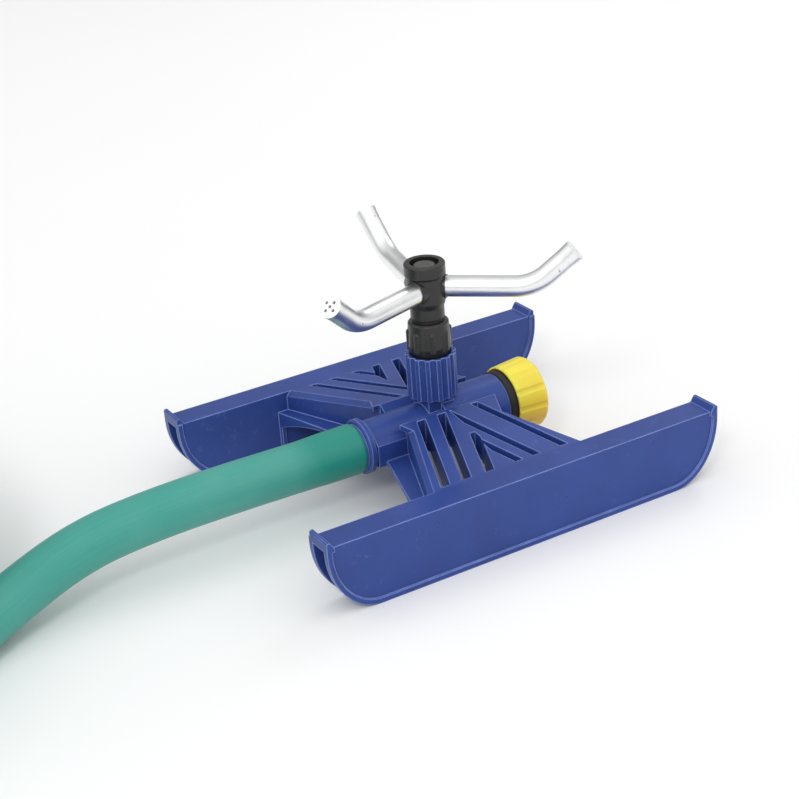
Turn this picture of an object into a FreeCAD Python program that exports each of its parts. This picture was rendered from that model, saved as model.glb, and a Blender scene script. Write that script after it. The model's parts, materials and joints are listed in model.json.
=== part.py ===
import FreeCAD, Part
import math
import os

# Three-arm rotary lawn sprinkler on a sled base, with its supply hose.
# Millimetres, +Z up. The origin is on the rotor axis, at the level of the lawn.
# +X points to the closed outlet, -X to the hose, and the two runners lie along X at +Y and -Y.

V = FreeCAD.Vector
X, Y, Z = V(1, 0, 0), V(0, 1, 0), V(0, 0, 1)

# ---------------------------------------------------------------- driving dimensions
# Runners
RAIL_HALF = 100.0         # half the length of a runner
RAIL_OUT = 79.0           # outer face of a runner, from the X axis
RAIL_IN = 64.5            # inner face
RAIL_TOP = 33.0           # flat top strip
SWEEP_RUN = 24.0          # length of the upswept end
SWEEP_RISE = 30.0         # height of the upswept end
WALL = 2.0                # moulded wall
RIM_WIDE = 2.4            # bead along the edge of a runner's wall
RIM_PROUD = 0.9
LIP_TOP = 35.8            # the lip that closes each end
LIP_THICK = 3.6

# Deck
DECK_CREST = 39.4         # top of the sloped deck, beside the pipe
CREST_Y = 12.0
DECK_THICK = 2.6
SADDLE_Y = 8.5            # a web joins the crest to the pipe's flank here
DECK_EDGES = ((1, 36.8), (-1, 42.3))     # half widths where the deck meets a runner: cap side, hose side
EDGE_LEAN = 0.40          # the deck's edges lean in by this share of the way to the pipe
EDGE_CUT = 2.4            # bevel along the deck's edges
SLOT_END = 63.0           # the slots stop here, from the X axis
# Slots: side, lean, width, and (inner edge at the runner, start beside the pipe, middle limit) of each
FRONT_SLOTS = ((1, 0.29, 3.9, ((25.4, 13.5, 0), (10.9, 13.5, 0), (1.8, 30.0, -2.0))),
               (-1, 0.377, 4.4, ((31.6, 13.5, 0), (20.9, 13.5, 0), (9.2, 34.0, 0))))
REAR_SLOTS = ((1, 0.38, 4.2, ((26.0, 13.5, 0), (14.6, 13.5, 0), (3.4, 30.0, -2.0))),
              (-1, 0.40, 3.9, ((27.3, 13.5, 0), (16.6, 13.5, 0), (4.0, 30.0, 0))))
RIB_THICK = 1.3           # a rib hangs down round each slot
RIB_DEEP = 12.0
LEDGE_TOP = 23.6          # a ledge runs outside the deck's upper skirt
LEDGE_OUT = (-9.3, 6.0)   # its edge, outside the deck's half width, at the crest and at the runner
ARCH_SIDE = 63.0          # the arch below the ledge springs here, from the X axis
ARCH_FOOT = 16.0
ARCH_CROWN_Y = 40.0       # and ends here, level with the ledge
SKIRT_LOW = 6.0

# Water way
PIPE_Z = 28.5             # height of the through pipe
PIPE_R = 11.0
PIPE_BORE = 8.0
OUTLET_R = 13.5           # thicker from the riser to the outlet's neck
NECK_X = 33.0
HOUSING_HALF = 11.8       # half width of the box round the pipe, on the hose side
HOUSING_X = -37.0
HOUSING_EAVES = 32.0
COUPLING_BORE = 8.95      # bore that takes the spigot of the hose tail
COUPLING_DEEP = 12.0
THREAD_R = 13.1           # G 3/4 male thread, over its crests
THREAD_ROOT = 12.0
THREAD_PITCH = 1.814
THREAD_X = 39.2
OUTLET_END = 48.2

# Riser
SOCKET_R = 11.5
SOCKET_TOP = 64.0
SOCKET_BORE = 8.6
FLUTES = 14
FLUTE_R = 1.7
FLUTE_LOW = 43.6
BLOCK_HALF = 6.7          # square foot of the riser
RISER_BORE = 4.6

# Bearing body, spindle and rotor
BEARING_R = 8.55
BEARING_LOW = 50.0
BEARING_TOP = 79.6
NUT_R = 10.4
NUT_LOBES = 8
SPINDLE_R = 3.9
SPINDLE_BORE = 2.6
RUN_FIT = 0.06            # radial clearance of a running fit
ROTOR_LOW = 80.7
ROTOR_TOP = 107.0
ROTOR_R = 8.6
CUP_R = 9.3
CUP_BORE = 6.6
ARM_Z = 95.0

# Arms
ARM_COUNT = 3
ARM_PHASE = -41.8         # direction of the first arm, degrees from +X
ARM_R = 4.75
ARM_BORE = 3.95
ARM_OFFSET = 1.5          # each arm passes the rotor axis at this distance
ARM_START = 5.2
ARM_STRAIGHT = 39.5
ARM_BEND = 41.0           # degrees
ARM_BEND_R = 22.0
ARM_TIP_RUN = 16.0
ARM_TWIST = 12.5          # the bend leans over by this, and drives the rotor round
TIP_R = 5.1

NOZZLE_HOLE = 0.7
NOZZLE_RING = 2.45        # the four outer holes lie on this circle

# Cap on the outlet
CAP_R = 16.9
CAP_RIM_R = 15.6          # the cap is slightly conical
CAP_X = 36.8
CAP_LONG = 15.6
CAP_BORE = 13.25
CAP_SKIRT_BORE = 14.6     # the open skirt round the ring behind the thread
CAP_SKIRT = 3.2
CAP_GRIPS = 12
GRIP_R = 3.5
GRIP_DEEP = 0.45

# Hose
HOSE_R = 11.2             # hose of 5/8 inch bore
HOSE_BORE = 7.95
FLANGE_X = -42.0          # face of the tail's flange, where the hose starts
FLANGE_R = 12.9
FLANGE_LONG = 4.7         # groove and flange together
BARB_R = 7.85
COIL_CENTRE = V(-343.2, 51.7, 0)
COIL_MEAN = 112.0         # radius at the middle of the turns
COIL_LAYERS = 3           # two turns side by side in each
LAP_R = 103.2             # the hose's end lies on top of the coil, along this arc
LAP_Z = 84.0
LAP_ANGLE = 132.0
LAP_STRAIGHT = 28.0
TIE_WIDE = 20.0
TIE_THICK = 1.2
TIE_ANGLE = 184.0         # beside the connector, round the coil and the end on top

# Swivel connector on the hose's far end
NUT_OUT = 16.5
NUT_BORE = 12.1
NUT_LONG = 22.6
NUT_GRIPS = 10

HOSE_ROUTE = [V(FLANGE_X, 0, PIPE_Z), V(-70, 0, PIPE_Z), V(-104, 0.3, 29.0), V(-142, -0.2, 29.0),
              V(-176, 0, 25.4), V(-212.8, -9.2, 16.4), V(-246.3, -27.0, 11.4), V(-271.6, -49.8, 11.2)]


# ---------------------------------------------------------------- small helpers
def box(x0, x1, y0, y1, z0, z1):
    return Part.makeBox(x1 - x0, y1 - y0, z1 - z0, V(x0, y0, z0))


def rod(radius, start, axis, length):
    return Part.makeCylinder(radius, length, start, axis)


def pipe(outer, inner, start, axis, length):
    return rod(outer, start, axis, length).cut(rod(inner, start - axis, axis, length + 2))


def prism(points, direction):
    return Part.Face(Part.makePolygon(points + [points[0]])).extrude(direction)


def turned(profile, start, axis, across):
    """A solid of revolution: profile is a list of (distance along the axis, radius)."""
    points = [start + axis * along + across * radius for along, radius in profile]
    return Part.Face(Part.makePolygon(points + [points[0]])).revolve(start, axis, 360)


def mirrored(shape, normal):
    return shape.mirror(V(0, 0, 0), normal)


def spun(shape, angle, axis=Z, centre=V(0, 0, 0)):
    copy = shape.copy()
    copy.rotate(centre, axis, angle)
    return copy


def fused(shapes):
    return shapes[0].multiFuse(shapes[1:]).removeSplitter()


def save(name, shape):
    shape.exportStep("parts/" + name + ".step")


# ---------------------------------------------------------------- sled base
def rail_face(inset, top, y):
    """Side outline of a runner, drawn smaller by inset: flat below, swept up at both ends."""
    end = RAIL_HALF - inset
    knee = RAIL_HALF - SWEEP_RUN
    edges = []
    for side in (1, -1):
        centre = V(side * knee, y, SWEEP_RISE)
        tall = centre + V(0, 0, inset - SWEEP_RISE)
        wide = V(side * end, y, SWEEP_RISE)
        major, minor = SWEEP_RISE - inset, SWEEP_RUN - inset
        mid = centre + V(side * minor * math.sqrt(0.5), 0, -major * math.sqrt(0.5))
        edges.append(ellipse_quarter(centre, tall, wide, mid))
        edges.append(Part.makeLine(wide, V(side * end, y, top)))
    edges.append(Part.makeLine(V(-end, y, top), V(end, y, top)))
    edges.append(Part.makeLine(V(-knee, y, inset), V(knee, y, inset)))
    return Part.Face(Part.Wire(Part.__sortEdges__(edges)))


def ellipse_quarter(centre, tall, wide, mid):
    """The quarter of an ellipse from tall to wide, through mid."""
    ellipse = Part.Ellipse(tall, wide, centre)
    first, last = ellipse.parameter(tall), ellipse.parameter(wide)
    arc = Part.ArcOfEllipse(ellipse, first, last).toShape()
    if arc.distToShape(Part.Vertex(mid))[0] > 0.01:
        arc = Part.ArcOfEllipse(ellipse, last, first).toShape()
    return arc


def runner():
    """The runner at +Y: an upside-down channel with beaded walls and a lip at each end."""
    panel = RAIL_OUT - RIM_PROUD
    bead = rail_face(0, RAIL_TOP, 0).cut(rail_face(RIM_WIDE, RAIL_TOP + 2, 0))
    layers = []
    for face, start, end in ((bead, RAIL_IN - RIM_PROUD, RAIL_IN),
                             (rail_face(0, RAIL_TOP, 0), RAIL_IN, RAIL_IN + WALL),
                             (rail_face(0, RAIL_TOP, 0), panel - WALL, panel),
                             (bead, panel, RAIL_OUT)):
        layer = face.extrude(Y * (end - start))
        layer.translate(Y * start)
        layers.append(layer)
    layers.append(box(-RAIL_HALF, RAIL_HALF, RAIL_IN + WALL, panel - WALL, RAIL_TOP - WALL, RAIL_TOP))
    for side in (1, -1):
        layers.append(prism([V(side * (RAIL_HALF - LIP_THICK), RAIL_IN, RAIL_TOP - WALL),
                             V(side * RAIL_HALF, RAIL_IN, RAIL_TOP - WALL),
                             V(side * RAIL_HALF, RAIL_IN, LIP_TOP - 0.6),
                             V(side * (RAIL_HALF - 0.6), RAIL_IN, LIP_TOP),
                             V(side * (RAIL_HALF - 1.8), RAIL_IN, LIP_TOP),
                             V(side * (RAIL_HALF - LIP_THICK), RAIL_IN, RAIL_TOP)],
                            Y * (RAIL_OUT - RAIL_IN)))
    return fused(layers)


def chevron(inner, outer, lean, start, end, low, high):
    """A slanting strip of the deck at +X +Y; inner and outer are its edges at the runner."""
    lean_start = (SLOT_END - start) * lean
    lean_end = (SLOT_END - end) * lean
    return prism([V(inner - lean_start, start, low), V(outer - lean_start, start, low),
                  V(outer - lean_end, end, low), V(inner - lean_end, end, low)], Z * (high - low))


def roof(top_drop, bottom_drop):
    """The sloping layer of the deck at +Y, between two depths below its top surface."""
    high_y = RAIL_IN + 1.0
    slope = (DECK_CREST - RAIL_TOP) / (RAIL_IN - CREST_Y)
    foot = RAIL_TOP - slope
    return prism([V(-60, CREST_Y, DECK_CREST - bottom_drop), V(-60, high_y, foot - bottom_drop),
                  V(-60, high_y, foot - top_drop), V(-60, CREST_Y, DECK_CREST - top_drop)], X * 120)


def skirt_side(edge):
    """The stepped skirt below the deck's edge at +X: upper wall, ledge, and outer wall over an arch."""
    near, far = SADDLE_Y - 0.5, RAIL_IN + 0.5
    upper = chevron(edge - WALL, edge, EDGE_LEAN, CREST_Y - 1, far, LEDGE_TOP - 1, 60).common(roof(0.2, 60))
    slope = (LEDGE_OUT[1] - LEDGE_OUT[0]) / (RAIL_IN - CREST_Y)
    out_near = edge + LEDGE_OUT[0] - slope * (CREST_Y - near)
    out_far = edge + LEDGE_OUT[1] + slope * (far - RAIL_IN)
    deck_near = edge - WALL - (SLOT_END - near) * EDGE_LEAN
    deck_far = edge - WALL - (SLOT_END - far) * EDGE_LEAN
    under = LEDGE_TOP - WALL
    ledge = prism([V(deck_near, near, under), V(out_near, near, under), V(out_far, far, under),
                   V(deck_far, far, under)], Z * WALL)
    outer = prism([V(out_near - WALL, near, SKIRT_LOW), V(out_near, near, SKIRT_LOW),
                   V(out_far, far, SKIRT_LOW), V(out_far - WALL, far, SKIRT_LOW)], Z * (LEDGE_TOP - SKIRT_LOW))
    spring, crown = V(0, ARCH_SIDE, ARCH_FOOT), V(0, ARCH_CROWN_Y, under)
    shoulder = V(0, (ARCH_SIDE + 2 * ARCH_CROWN_Y) / 3, ARCH_FOOT + 0.8 * (under - ARCH_FOOT))
    sides = Part.makePolygon([crown, V(0, -1, under), V(0, -1, 0), V(0, ARCH_SIDE, 0), spring])
    curve = Part.Arc(spring, shoulder, crown).toShape()
    arch = Part.Face(Part.Wire(Part.__sortEdges__(sides.Edges + [curve]))).extrude(X * 80)
    return [upper, ledge, outer.cut(arch)]


def edge_bevel(edge):
    """The sliver above the bevel of the deck's edge at +X +Y."""
    ends = []
    for y in (CREST_Y - 4, RAIL_IN):
        top = DECK_CREST - (y - CREST_Y) * (DECK_CREST - RAIL_TOP) / (RAIL_IN - CREST_Y)
        out = edge - (SLOT_END - y) * EDGE_LEAN
        ends.append(Part.makePolygon([V(out - EDGE_CUT, y, top), V(out, y, top - EDGE_CUT), V(out + 2, y, top - 1),
                                      V(out + 2, y, top + 2), V(out - EDGE_CUT, y, top + 2),
                                      V(out - EDGE_CUT, y, top)]))
    return Part.makeLoft(ends, True, True)


def deck_slots(rows):
    """The ribs that hang down round the slots at +Y, and the slots."""
    ribs, slots = [], []
    for side, lean, wide, row in rows:
        for inner, start, limit in row:
            rib = chevron(inner - RIB_THICK, inner + wide + RIB_THICK, lean, start - RIB_THICK,
                          SLOT_END + RIB_THICK, 10, 60).common(box(limit - RIB_THICK, 60, 0, 70, 10, 60))
            slot = chevron(inner, inner + wide, lean, start, SLOT_END, 0, 60).common(box(limit, 60, 0, 70, 0, 60))
            ribs.append(rib if side > 0 else mirrored(rib, X))
            slots.append(slot if side > 0 else mirrored(slot, X))
    return ribs, slots


def deck_half(rows):
    """The deck at +Y: two slanting edges, three pairs of ribbed slots, and stepped skirts below."""
    plate, skirts = [], []
    for side, edge in DECK_EDGES:
        bevel = edge_bevel(edge)
        upper, ledge, outer = skirt_side(edge)
        plane = chevron(-5, edge, EDGE_LEAN, CREST_Y - 1, RAIL_IN + 1, 0, 60)
        parts = [plane.cut(bevel), upper.cut(bevel), ledge, outer]
        if side < 0:
            parts = [mirrored(part, X) for part in parts]
        plate.append(parts[0])
        skirts += parts[1:]
    ribs, slots = deck_slots(rows)
    hanging = roof(0.5, RIB_DEEP)
    deck = fused([roof(0, DECK_THICK).common(fused(plate))] + [rib.common(hanging) for rib in ribs])
    for slot in slots:
        deck = deck.cut(slot)
    crest_x = [edge - (SLOT_END - CREST_Y) * EDGE_LEAN - 0.5 for side, edge in DECK_EDGES]
    saddle = prism([V(-crest_x[1], SADDLE_Y, PIPE_Z), V(-crest_x[1], CREST_Y + 1, PIPE_Z),
                    V(-crest_x[1], CREST_Y + 1, DECK_CREST - 1), V(-crest_x[1], CREST_Y, DECK_CREST - 0.1),
                    V(-crest_x[1], SADDLE_Y, DECK_CREST - 3)], X * (crest_x[0] + crest_x[1]))
    return fused([deck, saddle] + skirts)


def water_way():
    """Solid outside of the moulded tee: the pipe along X, its housing, and the fluted riser."""
    parts = [rod(PIPE_R, V(HOUSING_X, 0, PIPE_Z), X, OUTLET_END - 2 - HOUSING_X),
             prism([V(HOUSING_X, -HOUSING_HALF, PIPE_Z - 7), V(HOUSING_X, HOUSING_HALF, PIPE_Z - 7),
                    V(HOUSING_X, HOUSING_HALF, HOUSING_EAVES), V(HOUSING_X, HOUSING_HALF - 3.6, HOUSING_EAVES + 3),
                    V(HOUSING_X, 3.6 - HOUSING_HALF, HOUSING_EAVES + 3),
                    V(HOUSING_X, -HOUSING_HALF, HOUSING_EAVES)], X * -HOUSING_X),
             rod(OUTLET_R, V(0, 0, PIPE_Z), X, NECK_X),
             box(-BLOCK_HALF, BLOCK_HALF, -BLOCK_HALF, BLOCK_HALF, PIPE_Z, FLUTE_LOW + 0.5)]
    thread = [(0, 0), (0, THREAD_ROOT)]
    along = 0.6
    while THREAD_X + along + THREAD_PITCH < OUTLET_END:
        thread += [(along, THREAD_ROOT), (along + 0.7, THREAD_R), (along + 0.9, THREAD_R),
                   (along + 1.6, THREAD_ROOT)]
        along += THREAD_PITCH
    thread += [(OUTLET_END - THREAD_X, THREAD_ROOT), (OUTLET_END - THREAD_X, 0)]
    parts.append(turned(thread, V(THREAD_X, 0, PIPE_Z), X, Z))
    riser = rod(SOCKET_R, V(0, 0, FLUTE_LOW), Z, SOCKET_TOP - FLUTE_LOW)
    for i in range(FLUTES):
        angle = math.radians(360.0 * (i + 0.5) / FLUTES)
        reach = SOCKET_R + FLUTE_R * 0.35
        place = V(reach * math.cos(angle), reach * math.sin(angle), FLUTE_LOW - 3)
        riser = riser.cut(rod(FLUTE_R, place, Z, 30))
    parts.append(riser)
    return fused(parts)


def water_bores():
    """Everything that the water, the hose tail and the bearing body need open."""
    return [rod(PIPE_BORE, V(HOUSING_X + 6, 0, PIPE_Z), X, OUTLET_END + 30),
            rod(COUPLING_BORE, V(HOUSING_X - 2, 0, PIPE_Z), X, 2 + COUPLING_DEEP),
            rod(RISER_BORE, V(0, 0, PIPE_Z), Z, 40),
            rod(SOCKET_BORE, V(0, 0, BEARING_LOW - 2), Z, 40),
            Part.makeCone(SOCKET_BORE, SOCKET_BORE + 1.2, 1.2, V(0, 0, SOCKET_TOP - 1.2), Z)]


def sled_base():
    rail = runner()
    base = fused([rail, mirrored(rail, Y), deck_half(REAR_SLOTS), mirrored(deck_half(FRONT_SLOTS), Y), water_way()])
    for bore in water_bores():
        base = base.cut(bore)
    return base


# ---------------------------------------------------------------- inlet
def hose_tail():
    """Barbed tail with a flange; its spigot is glued into the pipe."""
    profile = [(-26.0, 5.4), (-26.0, 6.6), (-22.5, BARB_R), (-22.0, 7.0), (-17.5, BARB_R),
               (-17.0, 7.0), (-12.5, BARB_R), (-12.0, 7.0), (0, 7.0), (0, 10.6), (1.0, 10.6),
               (1.0, FLANGE_R - 0.8), (1.6, FLANGE_R), (3.8, FLANGE_R), (4.4, FLANGE_R - 0.8),
               (FLANGE_LONG, 11.4), (FLANGE_LONG, COUPLING_BORE - 0.05),
               (FLANGE_LONG + 10.6, COUPLING_BORE - 0.05), (FLANGE_LONG + 10.6, 6.6), (0, 5.4)]
    return turned(profile, V(FLANGE_X, 0, PIPE_Z), X, Z)


def tail_ring():
    """Sealing ring between the end of the tail's spigot and the step in the pipe."""
    start = FLANGE_X + FLANGE_LONG + 10.6
    return pipe(COUPLING_BORE - 0.1, 6.6, V(start, 0, PIPE_Z), X, HOUSING_X + COUPLING_DEEP - start)


# ---------------------------------------------------------------- outlet
def end_cap():
    length = CAP_LONG
    profile = [(0, CAP_SKIRT_BORE), (0, CAP_RIM_R - 0.4), (0.4, CAP_RIM_R), (length - 1.6, CAP_R),
               (length - 0.5, CAP_R - 0.6), (length, CAP_R - 1.8), (length, 0), (length - 2.4, 0),
               (length - 2.4, CAP_BORE), (CAP_SKIRT, CAP_BORE), (CAP_SKIRT, CAP_SKIRT_BORE)]
    cap = turned(profile, V(CAP_X, 0, PIPE_Z), X, Z)
    taper = (CAP_R - CAP_RIM_R) / (length - 1.6)
    for i in range(CAP_GRIPS):
        angle = math.radians(360.0 * i / CAP_GRIPS)
        radial = V(0, math.cos(angle), math.sin(angle))
        start = V(CAP_X, 0, PIPE_Z) + radial * (CAP_RIM_R + GRIP_R - GRIP_DEEP)
        along = X + radial * taper
        cap = cap.cut(rod(GRIP_R, start - along, along, length + 2))
    return cap


def outlet_ring():
    """Black rubber ring on the neck behind the thread; the cap's skirt covers its far end."""
    start, long, outer = NECK_X, 4.8, CAP_SKIRT_BORE - 0.4
    profile = [(0, PIPE_R + 0.02), (0, outer - 0.8), (0.8, outer), (long - 0.5, outer), (long, outer - 0.5),
               (long, PIPE_R + 0.02)]
    return turned(profile, V(start, 0, PIPE_Z), X, Z)


def cap_washer():
    start = OUTLET_END + 0.05
    return pipe(CAP_BORE - 0.1, 6.0, V(start, 0, PIPE_Z), X, CAP_X + CAP_LONG - 2.4 - start)


# ---------------------------------------------------------------- bearing and spindle
def bearing_body():
    """Black bearing body: threaded spigot, lobed grip ring and upper collar."""
    profile = [(BEARING_LOW, 6.2), (BEARING_LOW, BEARING_R - 0.5), (BEARING_LOW + 0.8, BEARING_R),
               (SOCKET_TOP - 0.4, BEARING_R), (SOCKET_TOP - 0.1, BEARING_R + 0.2),
               (SOCKET_TOP + 4.0, NUT_R - 0.5), (SOCKET_TOP + 10.5, NUT_R - 0.8), (76.5, 9.4),
               (78.8, 9.2), (BEARING_TOP, 8.4), (BEARING_TOP, SPINDLE_R + RUN_FIT),
               (BEARING_LOW + 5.2, SPINDLE_R + RUN_FIT), (BEARING_LOW + 5.2, 6.2)]
    body = turned(profile, V(0, 0, 0), Z, X)
    lobes = []
    for i in range(NUT_LOBES):
        angle = 360.0 * (i + 0.5) / NUT_LOBES
        lobe = Part.makeCylinder(1.5, 8.0, V(NUT_R - 1.5, 0, SOCKET_TOP + 2.6), Z)
        lobe = lobe.fuse(Part.makeSphere(1.5, V(NUT_R - 1.5, 0, SOCKET_TOP + 10.6)))
        lobes.append(spun(lobe, angle))
    body = fused([body] + lobes)
    groove = pipe(6.2, 0.5, V(0, 0, 76.2), Z, 2.0)
    return body.cut(groove)


def body_washer():
    """Flat washer under the bearing body, on the step in the riser."""
    return pipe(SOCKET_BORE - 0.1, 6.4, V(0, 0, BEARING_LOW - 2), Z, 2.0)


def spindle():
    """Hollow spindle: head below, plain journal, and a threaded end in the rotor."""
    low = BEARING_LOW + 0.3
    profile = [(low, SPINDLE_BORE + 0.4), (low, 5.9), (low + 2.6, 5.9), (low + 2.6, SPINDLE_R),
               (88.5, SPINDLE_R), (89.0, SPINDLE_R - 0.4), (89.0, SPINDLE_BORE), (low + 0.4, SPINDLE_BORE)]
    return turned(profile, V(0, 0, 0), Z, X)


def spindle_washer(low, thick, outer):
    return pipe(outer, SPINDLE_R + RUN_FIT, V(0, 0, low), Z, thick)


def spindle_seal():
    """Square-section seal ring in the groove at the top of the bearing body."""
    return pipe(6.1, SPINDLE_R + 0.05, V(0, 0, 76.25), Z, 1.9)


# ---------------------------------------------------------------- rotor
def arm_frame(i):
    angle = math.radians(ARM_PHASE + 360.0 * i / ARM_COUNT)
    out = V(math.cos(angle), math.sin(angle), 0)
    side = V(-math.sin(angle), math.cos(angle), 0)
    foot = side * ARM_OFFSET + V(0, 0, ARM_Z)
    lean = math.radians(ARM_TWIST)
    lift = side * math.sin(lean) + Z * math.cos(lean)
    return foot, out, lift


def rotor_hub():
    """Hub with its bottom bore, three arm ports and the cup on top."""
    profile = [(ROTOR_LOW, 0), (ROTOR_LOW, 7.2), (ROTOR_LOW + 0.8, 7.7), (86.5, 7.7), (89.0, ROTOR_R),
               (100.6, ROTOR_R), (101.6, CUP_R), (ROTOR_TOP - 0.6, CUP_R), (ROTOR_TOP, CUP_R - 0.5),
               (ROTOR_TOP, CUP_BORE), (101.2, CUP_BORE), (101.2, 0)]
    hub = turned(profile, V(0, 0, 0), Z, X)
    ports = []
    for i in range(ARM_COUNT):
        foot, out, lift = arm_frame(i)
        ports.append(rod(5.4, foot + out * 3.0, out, 6.2))
    hub = fused([hub] + ports)
    hub = hub.cut(rod(CUP_BORE, V(0, 0, 101.2), Z, 10))
    hub = hub.cut(rod(SPINDLE_R + 0.01, V(0, 0, ROTOR_LOW - 1), Z, 10.2))
    hub = hub.cut(rod(3.6, V(0, 0, 88), Z, 20))
    for i in range(ARM_COUNT):
        foot, out, lift = arm_frame(i)
        hub = hub.cut(rod(ARM_R + 0.01, foot + out * ARM_START, out, 20))
        hub = hub.cut(rod(3.0, V(0, 0, ARM_Z) + (foot - V(0, 0, ARM_Z)) * 0.5, out, 12))
    return hub


def rotor_plug():
    """Plug that closes the water chamber, in the bottom of the cup."""
    profile = [(98.6, 0), (98.6, 3.55), (101.25, 3.55), (101.25, CUP_BORE - 0.05), (102.6, CUP_BORE - 0.05),
               (103.0, CUP_BORE - 0.5), (103.0, 4.9), (105.5, 4.9), (105.9, 4.5), (105.9, 2.2), (105.4, 1.8),
               (105.4, 0)]
    return turned(profile, V(0, 0, 0), Z, X)


def arm_path(i):
    foot, out, lift = arm_frame(i)
    bend = math.radians(ARM_BEND)
    start = foot + out * ARM_START
    knee = foot + out * ARM_STRAIGHT
    centre = knee + lift * ARM_BEND_R

    def on_bend(angle):
        return centre + out * (ARM_BEND_R * math.sin(angle)) - lift * (ARM_BEND_R * math.cos(angle))

    ahead = out * math.cos(bend) + lift * math.sin(bend)
    top = on_bend(bend)
    end = top + ahead * ARM_TIP_RUN
    return start, knee, on_bend(bend / 2), top, end, ahead


def arm_sweep(i, radius):
    start, knee, middle, top, end, ahead = arm_path(i)
    foot, out, lift = arm_frame(i)
    wire = Part.Wire([Part.makeLine(start, knee), Part.Arc(knee, middle, top).toShape(), Part.makeLine(top, end)])
    ring = Part.Wire(Part.makeCircle(radius, start, out))
    return wire.makePipeShell([ring], True, False)


def arm_tube(i):
    """One bent metal tube, belled at its tip for the nozzle."""
    start, knee, middle, top, end, ahead = arm_path(i)
    bell = Part.makeCone(ARM_R, TIP_R, 6.0, end - ahead * 6.0, ahead)
    tube = fused([arm_sweep(i, ARM_R), bell])
    socket = Part.makeCone(ARM_BORE, TIP_R - 0.8, 6.0, end - ahead * 6.0, ahead)
    return tube.cut(arm_sweep(i, ARM_BORE)).cut(socket)


def nozzle(i):
    """Five-hole nozzle disc, pressed in the bell of an arm."""
    start, knee, middle, top, end, ahead = arm_path(i)
    foot, out, lift = arm_frame(i)
    taper = (TIP_R - 0.8 - ARM_BORE) / 6.0
    wide, narrow = TIP_R - 0.83, TIP_R - 0.83 - taper * 4.0
    disc = Part.makeCone(narrow, wide, 4.0, end - ahead * 4.0, ahead)
    across = ahead.cross(lift).normalize()
    rise = across.cross(ahead).normalize()
    disc = disc.cut(rod(narrow - 1.0, end - ahead * 5.0, ahead, 3.6))
    holes = [V(0, 0, 0)]
    for k in range(4):
        angle = math.radians(90.0 * k + 20.0)
        holes.append((across * math.cos(angle) + rise * math.sin(angle)) * NOZZLE_RING)
    for place in holes:
        disc = disc.cut(rod(NOZZLE_HOLE, end - ahead * 6.0 + place, ahead, 8))
    return disc


# ---------------------------------------------------------------- hose
def rounded_path(points):
    """Straight runs joined by tangent arcs, each as large as its two runs allow."""
    edges = []
    here = points[0]
    radii = []
    for before, point, after in zip(points, points[1:], points[2:]):
        back = (before - point)
        ahead = (after - point)
        short = 0.45 * min(back.Length, ahead.Length)
        back.normalize()
        ahead.normalize()
        turn = math.pi - back.getAngle(ahead)
        radius = short / math.tan(turn / 2)
        radii.append(round(radius, 1))
        enter, leave = point + back * short, point + ahead * short
        half = (back + ahead).normalize()
        middle = point + half * (radius / math.cos(turn / 2) - radius)
        edges.append(Part.makeLine(here, enter))
        edges.append(Part.Arc(enter, middle, leave).toShape())
        here = leave
    edges.append(Part.makeLine(here, points[-1]))
    print("bend radii", radii)
    return Part.Wire(edges)


def garden_hose():
    path = rounded_path(HOSE_ROUTE)
    ahead = (HOSE_ROUTE[1] - HOSE_ROUTE[0]).normalize()
    tube = path.makePipeShell([Part.Wire(Part.makeCircle(HOSE_R, HOSE_ROUTE[0], ahead))], True, False)
    bore = path.makePipeShell([Part.Wire(Part.makeCircle(HOSE_BORE, HOSE_ROUTE[0], ahead))], True, False)
    hose = tube.cut(bore)
    expected = math.pi * (HOSE_R ** 2 - HOSE_BORE ** 2) * path.Length
    print("hose length", round(path.Length, 1), "volume ratio", round(hose.Volume / expected, 4))
    return hose


def coil_end():
    """Where the hose leaves the coil and enters the connector, which points along +Y."""
    return COIL_CENTRE + V(-LAP_R, LAP_STRAIGHT, LAP_Z)


def tie_frame(shape):
    """Turns a piece built across +X into the place of the tie on the coil."""
    shape = spun(shape, TIE_ANGLE)
    shape.translate(COIL_CENTRE)
    return shape


def hose_coil():
    """Outer shape of the wound hose: three layers of two turns, and the end lying on top."""
    outer, inner, top = COIL_MEAN + 2 * HOSE_R, COIL_MEAN - 2 * HOSE_R, 2 * HOSE_R * COIL_LAYERS
    ring = pipe(outer, inner, COIL_CENTRE, Z, top)
    disc = Part.Face(Part.Wire(Part.makeCircle(HOSE_R, COIL_CENTRE + V(-LAP_R, 0, LAP_Z), Y)))
    lap = disc.revolve(COIL_CENTRE, Z, LAP_ANGLE)
    corners = [COIL_CENTRE + V(side * 8 - LAP_R, 0, level)
               for side, level in ((-1, top - 1), (1, top - 1), (1, LAP_Z), (-1, LAP_Z))]
    below = Part.Face(Part.makePolygon(corners + corners[:1])).revolve(COIL_CENTRE, Z, LAP_ANGLE)
    neck = rod(HOSE_R, COIL_CENTRE + V(-LAP_R, 0, LAP_Z), Y, LAP_STRAIGHT)
    coil = fused([ring, lap, below, neck])
    coil = coil.cut(rod(BARB_R + 0.1, coil_end() - Y * 26.5, Y, 30))
    under_tie = box(inner - 1, outer + 1, -TIE_WIDE / 2 - 0.2, TIE_WIDE / 2 + 0.2, -1, TIE_THICK + 0.1)
    return coil.cut(tie_frame(under_tie))


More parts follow.
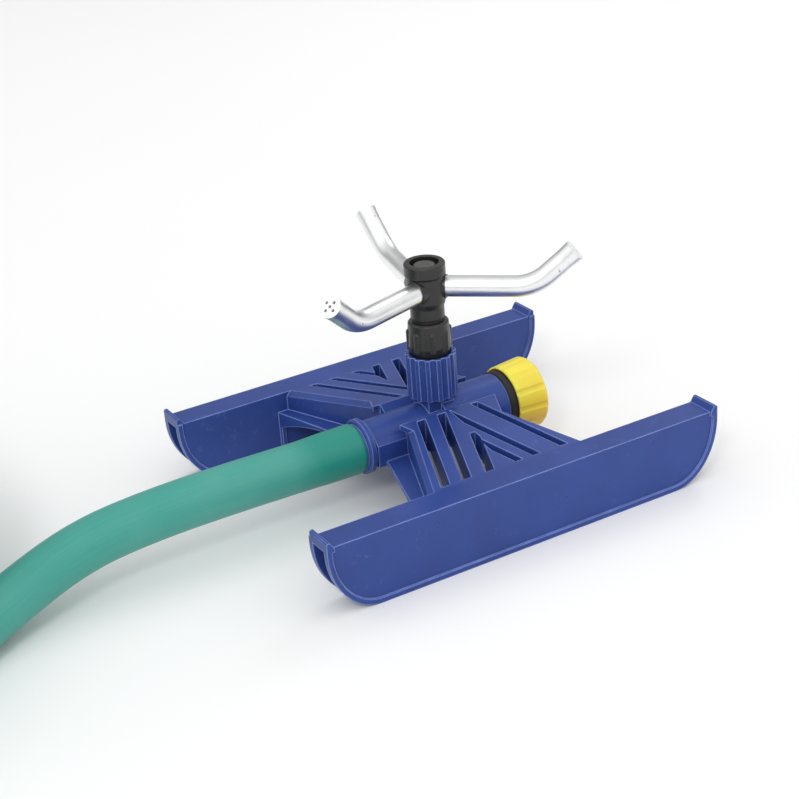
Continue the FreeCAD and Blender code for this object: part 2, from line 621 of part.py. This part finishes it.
def hose_tie():
    """Strap round the section of the coil and the hose's end on top of it."""
    outer = COIL_MEAN + 2 * HOSE_R + 0.2
    inner = math.sqrt((COIL_MEAN - 2 * HOSE_R) ** 2 - (TIE_WIDE / 2) ** 2) - 0.2
    top, lap_top = 2 * HOSE_R * COIL_LAYERS + 0.2, LAP_Z + HOSE_R + 0.4
    outline = [(inner, TIE_THICK), (outer, TIE_THICK), (outer, top), (LAP_R + 8, lap_top),
               (LAP_R - 6, lap_top), (LAP_R - 11.9, LAP_Z + 6), (inner, top)]
    corners = [V(reach, -TIE_WIDE / 2, level) for reach, level in outline]
    face = Part.Face(Part.makePolygon(corners + corners[:1]))
    wide = face.makeOffset2D(TIE_THICK, 2)
    return tie_frame(wide.cut(face).extrude(Y * TIE_WIDE))


def connector_tail():
    """Barbed tail in the hose's end, with the head that holds the swivel nut."""
    profile = [(-26.0, 5.4), (-26.0, 6.6), (-22.5, BARB_R), (-22.0, 7.0), (-17.5, BARB_R), (-17.0, 7.0),
               (-12.5, BARB_R), (-12.0, 7.0), (0, 7.0), (0, 11.8), (0.6, 12.4), (2.4, 12.4), (3.0, 11.8),
               (3.0, 8.4), (9.0, 8.4), (9.0, 11.9), (12.0, 11.9), (12.0, 5.4)]
    return turned(profile, coil_end(), Y, Z)


def connector_washer():
    return pipe(11.9, 6.0, coil_end() + Y * 12.0, Y, 2.4)


def connector_nut():
    """Swivel nut with a G 3/4 thread inside."""
    low, high = 3.4, 3.4 + NUT_LONG
    profile = [(low, 8.4 + RUN_FIT), (low, NUT_OUT - 2.2), (low + 2.2, NUT_OUT), (high - 1.2, NUT_OUT),
               (high, NUT_OUT - 1.2), (high, NUT_BORE), (14.6, NUT_BORE), (14.6, NUT_BORE + 0.2),
               (8.8, NUT_BORE + 0.2), (8.8, 8.4 + RUN_FIT)]
    nut = turned(profile, coil_end(), Y, Z)
    centre = coil_end()
    for i in range(NUT_GRIPS):
        angle = math.radians(360.0 * i / NUT_GRIPS)
        reach = NUT_OUT + 3.2
        nut = nut.cut(rod(4.2, centre + V(reach * math.cos(angle), low + 4.5, reach * math.sin(angle)), Y, 40))
    return nut


def main():
    os.makedirs("parts", exist_ok=True)
    save("sled_base", sled_base())
    save("hose_tail", hose_tail())
    save("tail_ring", tail_ring())
    save("end_cap", end_cap())
    save("outlet_ring", outlet_ring())
    save("cap_washer", cap_washer())
    save("bearing_body", bearing_body())
    save("body_washer", body_washer())
    save("spindle", spindle())
    save("thrust_washer", spindle_washer(BEARING_LOW + 3.0, 2.1, 5.9))
    save("wear_washer", spindle_washer(BEARING_TOP + 0.05, 1.0, 7.0))
    save("spindle_seal", spindle_seal())
    save("rotor_hub", rotor_hub())
    save("rotor_plug", rotor_plug())
    for i in range(ARM_COUNT):
        save("arm_tube_" + str(i + 1), arm_tube(i))
        save("nozzle_" + str(i + 1), nozzle(i))
    save("garden_hose", garden_hose())
    save("hose_coil", hose_coil())
    save("hose_tie", hose_tie())
    save("connector_tail", connector_tail())
    save("connector_washer", connector_washer())
    save("connector_nut", connector_nut())


main()
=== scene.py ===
import json
import math

import bmesh
import bpy
from mathutils import Matrix, Vector


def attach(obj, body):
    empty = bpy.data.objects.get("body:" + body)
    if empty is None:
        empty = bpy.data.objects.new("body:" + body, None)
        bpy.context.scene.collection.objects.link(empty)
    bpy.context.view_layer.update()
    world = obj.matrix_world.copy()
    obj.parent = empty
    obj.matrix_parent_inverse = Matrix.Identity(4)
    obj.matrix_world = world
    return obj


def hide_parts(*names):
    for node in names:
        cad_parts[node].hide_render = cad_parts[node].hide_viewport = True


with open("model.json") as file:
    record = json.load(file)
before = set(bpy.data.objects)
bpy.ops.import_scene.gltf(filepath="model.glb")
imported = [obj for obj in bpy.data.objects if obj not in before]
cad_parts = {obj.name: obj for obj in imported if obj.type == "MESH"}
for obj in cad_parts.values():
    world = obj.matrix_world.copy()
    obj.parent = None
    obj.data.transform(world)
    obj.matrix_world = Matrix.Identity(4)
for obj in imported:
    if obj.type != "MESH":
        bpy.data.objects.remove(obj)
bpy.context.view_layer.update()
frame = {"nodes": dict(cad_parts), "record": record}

# Looks of a three-arm rotary lawn sprinkler on a sled base, with its hose. Metres, +Z up.
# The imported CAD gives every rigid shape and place; this script adds the hose as one length,
# softened edges, finishes, light, floor and camera.

MM = 0.001
NODES = frame["nodes"]

# ---------------------------------------------------------------- driving values
CAMERA_PLACE = Vector((-0.3697, -0.6342, 0.3899))
CAMERA_AZIMUTH, CAMERA_ELEVATION, CAMERA_ROLL = -29.03, 25.42, -4.53   # degrees
CAMERA_LENS = 80.4
SENSOR_WIDTH = 36
CLIP_NEAR, CLIP_FAR = 0.01, 50

HOSE_R = 11.2 * MM
HOSE_SIDES = 40
HOSE_FLARE = 11.6 * MM    # radius where the hose is pushed over the tail
FLARE_STEADY = 12 * MM    # the flare is full up to here
FLARE_LONG = 30 * MM      # and gone from here on
FLARE_RINGS = (0, 0.3, 0.8, 1.6, 4, 7, 10, 13, 16, 19, 22, 25, 28)   # mm from the hose's end
LIP_DEEP, LIP_LONG = 0.8 * MM, 1.2 * MM    # the end's rounded rim
SAME_POINT = 1e-6         # points nearer than this count as one

# The hose's free stretch, in mm, from the barbed tail to the coil beside the sprinkler
ROUTE = [(-42.0, 0, 28.5), (-70, 0, 28.5), (-104, 0.3, 29.0), (-142, -0.2, 29.0),
         (-176, 0, 25.4), (-212.8, -9.2, 16.4), (-246.3, -27.0, 11.4), (-271.6, -49.8, 11.2)]

# The coil, in mm and degrees
COIL_CENTRE = (-343.2, 51.7)
COIL_MEAN = 112.0         # radius at the middle of the turns
STEP = 22.4               # from one turn to the next, across or up
COIL_START = -48.0        # where the hose joins the coil, degrees
TURNS = [(0.5, 0), (-0.5, 0), (-0.5, 1), (0.5, 1), (0.5, 2), (-0.5, 2), (-0.393, 3.25)]  # (column, layer)
CROSS_TURN = 180          # each turn moves over to its next place in its last half
CROSS_HUMP = 0.42         # crossing hoses stand apart by this share
LAP_R, LAP_Z, LAP_TURN = 103.2, 84.0, 132   # the last part-turn, on top
LAP_STRAIGHT = 28.0       # its straight end, in the connector
TURN_POINTS = 16          # control points for each turn

# Linear colours
HOSE_DARK = (0.046, 0.300, 0.252, 1)
HOSE_PALE = (0.062, 0.340, 0.288, 1)
HOSE_MILKY = (0.130, 0.410, 0.350, 1)
HOSE_STRETCHED = (0.012, 0.255, 0.200, 1)
HOSE_DARKER_UP_TO = (22 * MM, 36 * MM)      # the stretched stretch fades out between these
BRAID_STRANDS = 8         # each way round the hose
BRAID_ADVANCE = 900       # radians of the braid's wave for each metre along the hose
SKIN_GRAIN = 2200         # cells of a moulding's skin for each metre
SKIN_DEEP = 0.02 * MM

FLOOR_REACH = 12.0
FLOOR_DROP = 0.02 * MM    # keeps the floor just under the faces that rest on it

# The studio's brightness is two ramps multiplied: (direction, from, to, brightness at each)
SKY = [((0, 0, 1), 0.05, 0.60, 0.50, 1.25),          # dimmer round the sides than above
       ((0.47, 0.85, 0.25), 0.0, 0.80, 1.0, 0.50)]   # and dimmer towards the back

# (name, place, size, power)
LAMPS = [("key", (-0.9, -0.9, 1.1), 0.35, 5),
         ("rim", (0.9, 0.5, 0.9), 0.5, 2)]
LAMP_AIM = (0, 0, 0.04)


# ---------------------------------------------------------------- camera
def make_camera():
    """A camera at CAMERA_PLACE that looks along its azimuth and elevation, rolled about that line."""
    azimuth = math.radians(CAMERA_AZIMUTH)
    elevation = math.radians(CAMERA_ELEVATION)
    roll = math.radians(CAMERA_ROLL)
    back = Vector((math.sin(azimuth) * math.cos(elevation), -math.cos(azimuth) * math.cos(elevation),
                   math.sin(elevation)))
    right = Vector((math.cos(azimuth), math.sin(azimuth), 0))
    up = back.cross(right)
    turn = Matrix((right, up, back)).transposed() @ Matrix.Rotation(roll, 3, "Z")
    camera = bpy.data.objects.new("camera", bpy.data.cameras.new("camera"))
    camera.data.lens = CAMERA_LENS
    camera.data.sensor_width = SENSOR_WIDTH
    camera.data.clip_start, camera.data.clip_end = CLIP_NEAR, CLIP_FAR
    camera.matrix_world = Matrix.Translation(CAMERA_PLACE) @ turn.to_4x4()
    bpy.context.scene.collection.objects.link(camera)
    bpy.context.scene.camera = camera


# ---------------------------------------------------------------- hose
def smooth(value, start, end):
    """0 at start, 1 at end, level at both."""
    t = min(max((value - start) / (end - start), 0), 1)
    return t * t * (3 - 2 * t)


def coil_points():
    """Control points of the wound hose, clockwise from the end of the free stretch."""
    points = []
    reach = 1 / math.cos(math.pi / TURN_POINTS)      # a spline runs inside its control points
    last = len(TURNS) - 1
    for k in range(1, (360 * last + LAP_TURN) * TURN_POINTS // 360 + 1):
        turned = 360 * k / TURN_POINTS
        turn = int(turned // 360)
        column, layer = TURNS[turn]
        if turn < last:
            moved = smooth(turned - 360 * turn, 360 - CROSS_TURN, 360)
            hump = 1 + CROSS_HUMP * 4 * moved * (1 - moved)
            column, layer = ((a + (b - a) * moved) * hump for a, b in zip(TURNS[turn], TURNS[turn + 1]))
        radius = reach * (COIL_MEAN + column * STEP)
        angle = math.radians(COIL_START - turned)
        points.append((COIL_CENTRE[0] + radius * math.cos(angle), COIL_CENTRE[1] + radius * math.sin(angle),
                       STEP / 2 + layer * STEP))
    end_x = COIL_CENTRE[0] - LAP_R
    points.append((end_x, COIL_CENTRE[1], LAP_Z))
    points.append((end_x, COIL_CENTRE[1] + LAP_STRAIGHT, LAP_Z))
    return points


def route_line():
    """Points of the hose's smooth centre line, read from its NURBS spline."""
    curve = bpy.data.curves.new("hose_route", "CURVE")
    curve.dimensions = "3D"
    spline = curve.splines.new("NURBS")
    points = ROUTE + coil_points()
    spline.points.add(len(points) - 1)
    for point, place in zip(spline.points, points):
        point.co = (*(Vector(place) * MM), 1)
    spline.order_u = 3
    spline.use_endpoint_u = True
    spline.resolution_u = 6
    carrier = bpy.data.objects.new("hose_route", curve)
    bpy.context.scene.collection.objects.link(carrier)
    bpy.context.view_layer.update()
    mesh = bpy.data.meshes.new_from_object(carrier.evaluated_get(bpy.context.evaluated_depsgraph_get()))
    line = [v.co.copy() for v in mesh.vertices]
    bpy.data.objects.remove(carrier)
    bpy.data.meshes.remove(mesh)
    return [p for i, p in enumerate(line) if i == 0 or (p - line[i - 1]).length > SAME_POINT]


def hose_radius(along):
    """The hose is stretched over the tail at its first end, with a rounded lip."""
    lip = LIP_DEEP * (1 - smooth(along, 0, LIP_LONG))
    flare = (HOSE_FLARE - HOSE_R) * (1 - smooth(along, FLARE_STEADY, FLARE_LONG))
    return HOSE_R + flare - lip


def tube(name, line, radius_at, sides):
    """A closed tube along a line; its 'lay' attribute holds (distance along, cosine, sine)."""
    mesh = bpy.data.meshes.new(name)
    shape = bmesh.new()
    lay = shape.verts.layers.float_vector.new("lay")
    side = None
    along = 0.0
    rings = []
    for i, point in enumerate(line):
        before, after = line[max(i - 1, 0)], line[min(i + 1, len(line) - 1)]
        tangent = (after - before).normalized()
        along += (point - before).length
        side = Vector((0, 0, 1)) if side is None else side
        side = (side - tangent * side.dot(tangent)).normalized()
        other = tangent.cross(side)
        ring = []
        for k in range(sides):
            turn = 2 * math.pi * k / sides
            offset = side * math.cos(turn) + other * math.sin(turn)
            vert = shape.verts.new(point + offset * radius_at(along))
            vert[lay] = (along, math.cos(turn), math.sin(turn))
            ring.append(vert)
        rings.append(ring)
    for first, second in zip(rings, rings[1:]):
        for k in range(sides):
            n = (k + 1) % sides
            shape.faces.new((first[k], first[n], second[n], second[k]))
    shape.faces.new(rings[0][::-1])
    shape.faces.new(rings[-1])
    bmesh.ops.recalc_face_normals(shape, faces=shape.faces)
    for face in shape.faces:
        face.smooth = len(face.verts) == 4
    shape.to_mesh(mesh)
    shape.free()
    piece = bpy.data.objects.new(name, mesh)
    bpy.context.scene.collection.objects.link(piece)
    return piece


def end_rings(line):
    """The line with extra points near its first end, so that the flare is round."""
    start, toward = line[0], (line[1] - line[0]).normalized()
    near = [start + toward * (distance * MM) for distance in FLARE_RINGS]
    return near + [p for p in line[1:] if (p - start).length > FLARE_LONG]


def make_hose():
    """The whole hose as one length, in place of its two CAD stand-ins."""
    line = end_rings(route_line())
    hose = tube("hose", line, hose_radius, HOSE_SIDES)
    hose.data.materials.append(hose_finish())
    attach(hose, "sled")
    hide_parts("garden_hose", "hose_coil")


# ---------------------------------------------------------------- finishes
class Finish:
    """A node material, built up in a few lines."""

    def __init__(self, name):
        self.material = bpy.data.materials.new(name)
        self.material.use_nodes = True
        self.tree = self.material.node_tree
        self.tree.nodes.clear()
        self.shader = self.node("BsdfPrincipled")
        output = self.node("OutputMaterial")
        self.tree.links.new(self.shader.outputs[0], output.inputs["Surface"])
        self.place = self.node("TexCoord").outputs["Object"]

    def node(self, kind, inputs=None, **settings):
        node = self.tree.nodes.new("ShaderNode" + kind)
        for key, value in settings.items():
            setattr(node, key, value)
        for key, value in (inputs or {}).items():
            self.put(node, key, value)
        return node

    def put(self, node, key, value):
        if isinstance(value, bpy.types.NodeSocket):
            self.tree.links.new(value, node.inputs[key])
        else:
            node.inputs[key].default_value = value

    def set(self, **inputs):
        for key, value in inputs.items():
            self.put(self.shader, key.replace("_", " "), value)

    def noise(self, scale, detail=2, roughness=0.5, place=None):
        inputs = {"Vector": place or self.place, "Scale": scale, "Detail": detail, "Roughness": roughness}
        return self.node("TexNoise", inputs).outputs["Fac"]

    def ramp(self, value, low, high, to_low=0.0, to_high=1.0):
        inputs = {"Value": value, "From Min": low, "From Max": high, "To Min": to_low, "To Max": to_high}
        return self.node("MapRange", inputs, clamp=True).outputs["Result"]

    def blend(self, factor, first, second):
        mix = self.node("Mix", data_type="RGBA")
        for index, value in ((0, factor), (6, first), (7, second)):
            self.put(mix, index, value)
        return mix.outputs[2]

    def math(self, operation, first, second=0.0):
        return self.node("Math", {0: first, 1: second}, operation=operation).outputs[0]

    def bump(self, height, distance, strength=1.0, normal=None):
        inputs = {"Height": height, "Distance": distance, "Strength": strength}
        if normal is not None:
            inputs["Normal"] = normal
        return self.node("Bump", inputs).outputs["Normal"]

    def round_edges(self, radius):
        """The surface's normal as if its edges were rounded, and how near an edge it is, 0 to 1."""
        soft = self.node("Bevel", {"Radius": radius}, samples=6).outputs["Normal"]
        true = self.node("NewGeometry").outputs["Normal"]
        dot = self.node("VectorMath", {0: soft, 1: true}, operation="DOT_PRODUCT").outputs["Value"]
        return soft, self.ramp(dot, 0.99, 0.84)


def shade(colour, factor):
    """A colour made lighter or darker."""
    return tuple(min(c * factor, 1) for c in colour[:3]) + (1,)


def moulded(name, colour, roughness, edge_radius, highlight_and_scuff_colour, edge_highlight_strength=0.5, soft=0.0, gloss=0.5, under=None):
    """Injection-moulded plastic: faint flow marks, fine skin grain, scuffs, and paler edges painted as a
    highlight.

    Further arguments: how strongly the pale edges are painted as a highlight, soft how far light goes in,
    and under the colour painted on undersides as shade.
    """
    f = Finish(name)
    normal, edge = f.round_edges(edge_radius)
    cloud = f.ramp(f.noise(28, 3), 0.35, 0.65)
    body = f.blend(cloud, shade(colour, 0.90), shade(colour, 1.10))
    # Downward faces are painted in the under colour as shade.
    if under:
        facing = f.node("SeparateXYZ", {0: f.node("NewGeometry").outputs["Normal"]}).outputs[2]
        body = f.blend(f.ramp(facing, 0.5, -0.5), body, under)
    scuff = f.ramp(f.noise(160, 6, 0.7), 0.60, 0.72)
    body = f.blend(f.math("MULTIPLY", scuff, 0.10), body, highlight_and_scuff_colour)
    # Paler edges: a highlight painted along the edges, made patchy with noise.
    painted_edge_highlight = f.math("MULTIPLY", edge, f.ramp(f.noise(90, 4, 0.6), 0.3, 0.7, edge_highlight_strength * 0.5, edge_highlight_strength))
    body = f.blend(painted_edge_highlight, body, highlight_and_scuff_colour)
    rough = f.math("ADD", f.ramp(f.noise(60, 4), 0.3, 0.7, roughness - 0.05, roughness + 0.06),
                   f.math("MULTIPLY", scuff, 0.12))
    skin = f.bump(f.noise(SKIN_GRAIN, 2), SKIN_DEEP, 0.6, normal)
    f.set(Base_Color=body, Roughness=rough, Normal=skin, Specular_IOR_Level=gloss)
    if soft:
        f.set(Subsurface_Weight=soft, Subsurface_Radius=(0.006, 0.003, 0.001), Subsurface_Scale=0.5)
    return f.material


def hose_finish():
    """Two-layer PVC hose: satin skin with fine draw lines, a faint braid below, darker over the tail."""
    f = Finish("hose_pvc")
    lay = f.node("Attribute", attribute_name="lay").outputs["Vector"]
    split = f.node("SeparateXYZ", {0: lay})
    along = split.outputs[0]
    stretched = f.node("Mapping", {"Vector": lay, "Scale": (14, 4.5, 4.5)}).outputs["Vector"]
    draw = f.noise(3.0, 4, 0.6, stretched)
    mottle = f.noise(24, 3)
    colour = f.blend(f.ramp(draw, 0.2, 0.8), HOSE_DARK, HOSE_PALE)
    colour = f.blend(f.ramp(mottle, 0.4, 0.7, 0, 0.3), colour, HOSE_MILKY)
    over_tail = f.ramp(along, *HOSE_DARKER_UP_TO, 1, 0)
    colour = f.blend(f.math("MULTIPLY", over_tail, 0.85), colour, HOSE_STRETCHED)
    turn = f.math("ARCTAN2", split.outputs[2], split.outputs[1])
    braid = None
    for way in (1, -1):
        strand = f.math("SINE", f.math("ADD", f.math("MULTIPLY", turn, BRAID_STRANDS * way),
                                       f.math("MULTIPLY", along, BRAID_ADVANCE)))
        braid = strand if braid is None else f.math("MAXIMUM", braid, strand)
    skin = f.math("ADD", f.noise(1500, 2), f.math("MULTIPLY", draw, 0.8))
    height = f.math("ADD", f.math("MULTIPLY", braid, 0.25), skin)
    f.set(Base_Color=colour, Roughness=f.ramp(mottle, 0.3, 0.7, 0.36, 0.46),
          Normal=f.bump(height, 0.05 * MM, 0.6), Specular_IOR_Level=0.35, Subsurface_Weight=0.15,
          Subsurface_Radius=(0.002, 0.004, 0.003), Subsurface_Scale=0.5)
    return f.material


def bright_metal():
    """Polished aluminium tube: fine drawing lines, finger haze and a few small nicks."""
    f = Finish("polished_tube")
    haze = f.noise(70, 4, 0.6)
    fine = f.noise(900, 3, 0.7)
    nick = f.ramp(f.noise(260, 2), 0.74, 0.76)
    colour = f.blend(f.ramp(haze, 0.35, 0.65), (0.86, 0.87, 0.88, 1), (0.95, 0.95, 0.95, 1))
    colour = f.blend(f.math("MULTIPLY", nick, 0.8), colour, (0.25, 0.25, 0.26, 1))
    f.set(Base_Color=colour, Metallic=1.0, Roughness=f.ramp(haze, 0.2, 0.8, 0.27, 0.36),
          Normal=f.bump(fine, 0.01 * MM, 0.5))
    return f.material


def turned_brass():
    """Brass with the fine rings that a lathe leaves."""
    f = Finish("turned_brass")
    rings = f.node("Mapping", {"Vector": f.place, "Scale": (60, 60, 4000)}).outputs["Vector"]
    lines = f.noise(1.0, 3, 0.6, rings)
    colour = f.blend(lines, (0.55, 0.36, 0.12, 1), (0.80, 0.60, 0.28, 1))
    f.set(Base_Color=colour, Metallic=1.0, Roughness=0.28, Normal=f.bump(lines, 0.01 * MM, 0.6))
    return f.material


def woven_strap():
    """Hook-and-loop strap: a fine over-and-under weave with fuzz."""
    f = Finish("woven_strap")
    cells = f.node("TexChecker", {"Vector": f.place, "Scale": 1100.0}).outputs["Fac"]
    fuzz = f.noise(2400, 3, 0.7)
    height = f.math("ADD", cells, fuzz)
    colour = f.blend(fuzz, (0.012, 0.012, 0.014, 1), (0.06, 0.06, 0.065, 1))
    f.set(Base_Color=colour, Roughness=0.85, Sheen_Weight=0.3, Normal=f.bump(height, 0.12 * MM, 0.8))
    return f.material


# The pale colour after each edge radius is painted on the edges as a highlight, and faintly on scuffs.
FINISHES = {
    "blue_plastic": lambda: moulded("moulded_blue", (0.026, 0.058, 0.258), 0.32, 0.9 * MM,
                                    (0.32, 0.44, 0.92, 1), edge_highlight_strength=1.0, gloss=0.32),
    "black_plastic": lambda: moulded("moulded_black", (0.018, 0.017, 0.016), 0.30, 0.4 * MM,
                                     (0.10, 0.10, 0.095, 1)),
    "grey_plastic": lambda: moulded("moulded_grey", (0.075, 0.078, 0.072), 0.45, 0.3 * MM,
                                    (0.16, 0.16, 0.15, 1)),
    "white_plastic": lambda: moulded("turned_white", (0.75, 0.75, 0.72), 0.40, 0.2 * MM,
                                     (0.85, 0.85, 0.82, 1)),
    "nozzle_white": lambda: moulded("nozzle_white", (0.86, 0.86, 0.85), 0.25, 0.3 * MM,
                                    (0.95, 0.95, 0.95, 1)),
    # Yellow: the orange under colour is painted on downward faces as shade.
    "yellow_plastic": lambda: moulded("moulded_yellow", (0.95, 0.77, 0.070), 0.33, 0.6 * MM,
                                      (0.98, 0.84, 0.20, 1), soft=0.45, under=(1.0, 0.58, 0.05, 1)),
    "seal_rubber": lambda: moulded("seal_rubber", (0.014, 0.014, 0.014), 0.7, 0.15 * MM,
                                   (0.04, 0.04, 0.04, 1)),
    "bright_aluminium": bright_metal,
    "brass": turned_brass,
    "strap_black": woven_strap,
    "hose_green": hose_finish,
}


def finish_nodes():
    """Every CAD node gets the finish of its material slot."""
    made = {}
    for part in frame["record"]["subparts"]:
        slot = part["material_slot"]
        if slot not in made:
            made[slot] = FINISHES[slot]()
        mesh = NODES[part["node"]].data
        mesh.materials.clear()
        mesh.materials.append(made[slot])


# ---------------------------------------------------------------- studio
def make_floor():
    """A wide pale floor that catches the shadows."""
    mesh = bpy.data.meshes.new("floor")
    corners = [(x * FLOOR_REACH, y * FLOOR_REACH, 0) for x, y in ((-1, -1), (1, -1), (1, 1), (-1, 1))]
    mesh.from_pydata(corners, [], [(0, 1, 2, 3)])
    floor = bpy.data.objects.new("floor", mesh)
    floor.location.z = -FLOOR_DROP
    bpy.context.scene.collection.objects.link(floor)
    f = Finish("pale_floor")
    f.set(Base_Color=f.blend(f.noise(3), (0.90, 0.90, 0.90, 1), (0.92, 0.92, 0.92, 1)), Roughness=0.9)
    mesh.materials.append(f.material)


def make_sky():
    """White all round, with the brightness of the SKY ramps."""
    world = bpy.data.worlds.new("studio")
    world.use_nodes = True
    tree = world.node_tree
    toward = tree.nodes.new("ShaderNodeTexCoord").outputs["Generated"]
    glow = tree.nodes.new("ShaderNodeMath")
    glow.operation = "MULTIPLY"
    for index, (way, low, high, start, end) in enumerate(SKY):
        along = tree.nodes.new("ShaderNodeVectorMath")
        along.operation = "DOT_PRODUCT"
        along.inputs[1].default_value = way
        ramp = tree.nodes.new("ShaderNodeMapRange")
        tree.links.new(toward, along.inputs[0])
        tree.links.new(along.outputs["Value"], ramp.inputs["Value"])
        for key, value in (("From Min", low), ("From Max", high), ("To Min", start), ("To Max", end)):
            ramp.inputs[key].default_value = value
        tree.links.new(ramp.outputs["Result"], glow.inputs[index])
    tree.links.new(glow.outputs[0], tree.nodes["Background"].inputs["Strength"])
    tree.nodes["Background"].inputs["Color"].default_value = (1, 1, 1, 1)
    bpy.context.scene.world = world


def make_lamps():
    """Two round lamps aimed at the sprinkler."""
    for name, place, size, power in LAMPS:
        lamp = bpy.data.lights.new(name, "AREA")
        lamp.shape = "DISK"
        lamp.size = size
        lamp.energy = power
        light = bpy.data.objects.new(name, lamp)
        light.location = place
        light.rotation_euler = (Vector(LAMP_AIM) - Vector(place)).to_track_quat("-Z", "Y").to_euler()
        bpy.context.scene.collection.objects.link(light)


make_camera()
make_hose()
finish_nodes()
make_floor()
make_sky()
make_lamps()
bpy.context.scene.view_settings.view_transform = "Standard"
